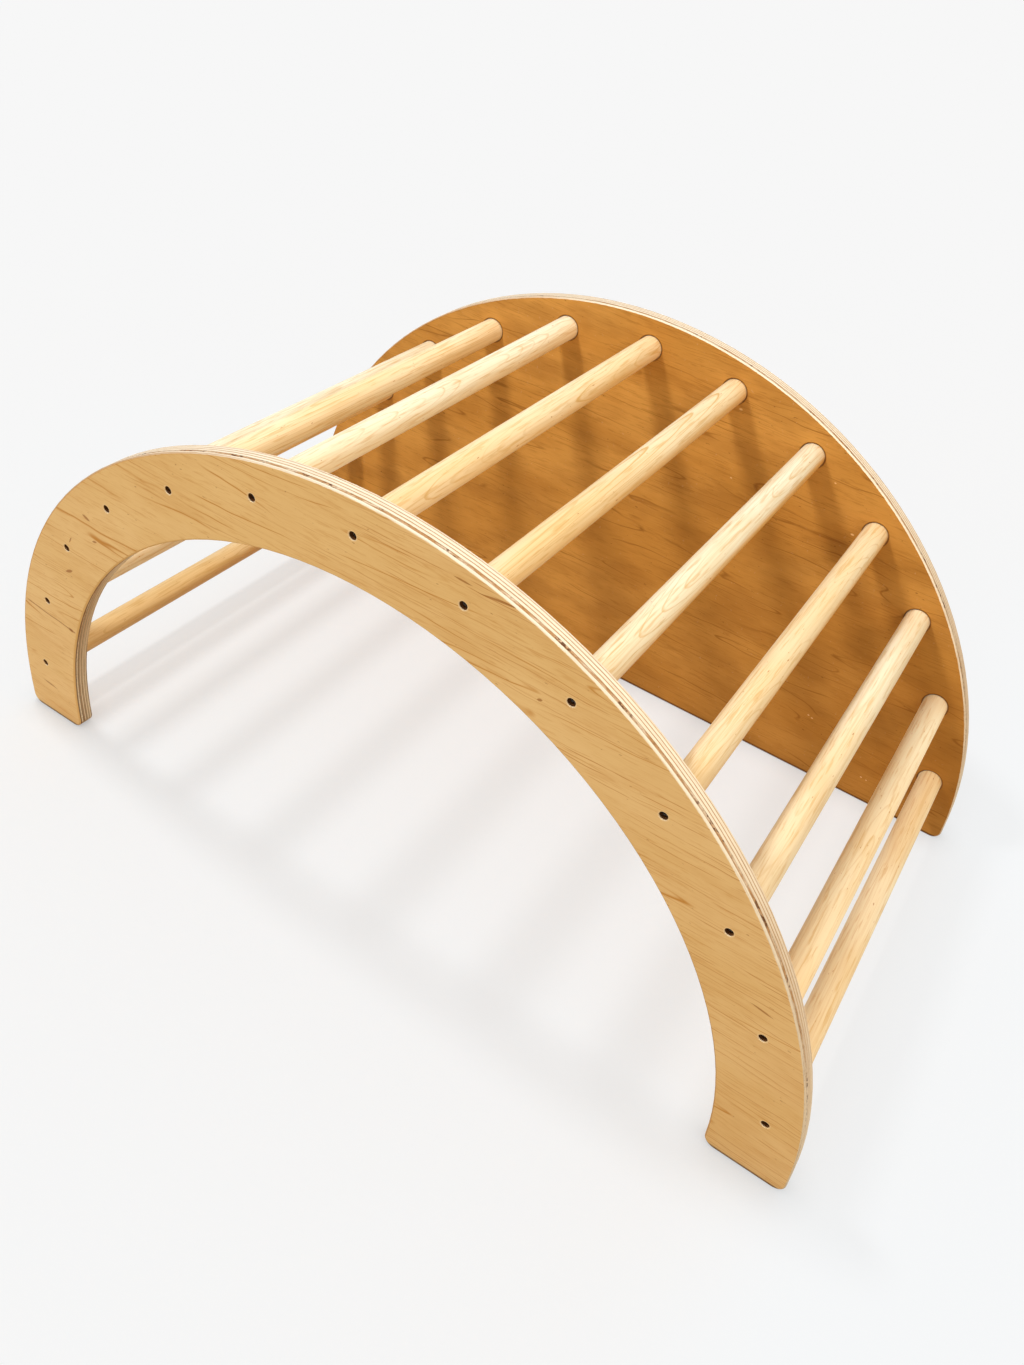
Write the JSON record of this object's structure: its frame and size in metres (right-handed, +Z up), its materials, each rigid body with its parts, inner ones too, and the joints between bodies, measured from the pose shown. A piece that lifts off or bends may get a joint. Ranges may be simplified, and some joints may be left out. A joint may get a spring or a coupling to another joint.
{
  "type": "climbing and rocking arch",
  "caption": "Child's wooden climbing arch: round rungs between an open arch side and a solid half-disc side; turned over, it rocks on its curved edges.",
  "frame": {"origin": "on the floor, under the middle of the object as it stands on its feet", "axes": "+X along the arch from foot to foot, +Y from the open arch side to the solid side, +Z up"},
  "size_m": [1, 0.516, 0.5159],
  "materials": {
    "arch_plywood": "clear satin lacquer on a tan face veneer, bare laminated edges",
    "solid_plywood": "clear satin lacquer on a tan face veneer, bare laminated edges",
    "dowel_wood": "pale, smoothly sanded, clear satin lacquer",
    "screw_steel": "dull zinc plated"
  },
  "bodies": {
    "root": {"arch_side": "arch_plywood", "solid_side": "solid_plywood", "rung_01": "dowel_wood", "rung_02": "dowel_wood", "rung_03": "dowel_wood", "rung_04": "dowel_wood", "rung_05": "dowel_wood", "rung_06": "dowel_wood", "rung_07": "dowel_wood", "rung_08": "dowel_wood", "rung_09": "dowel_wood", "rung_10": "dowel_wood", "rung_11": "dowel_wood", "rung_12": "dowel_wood", "rung_13": "dowel_wood", "arch_side_screws": "screw_steel", "solid_side_screws": "screw_steel"}
  },
  "joints": []
}
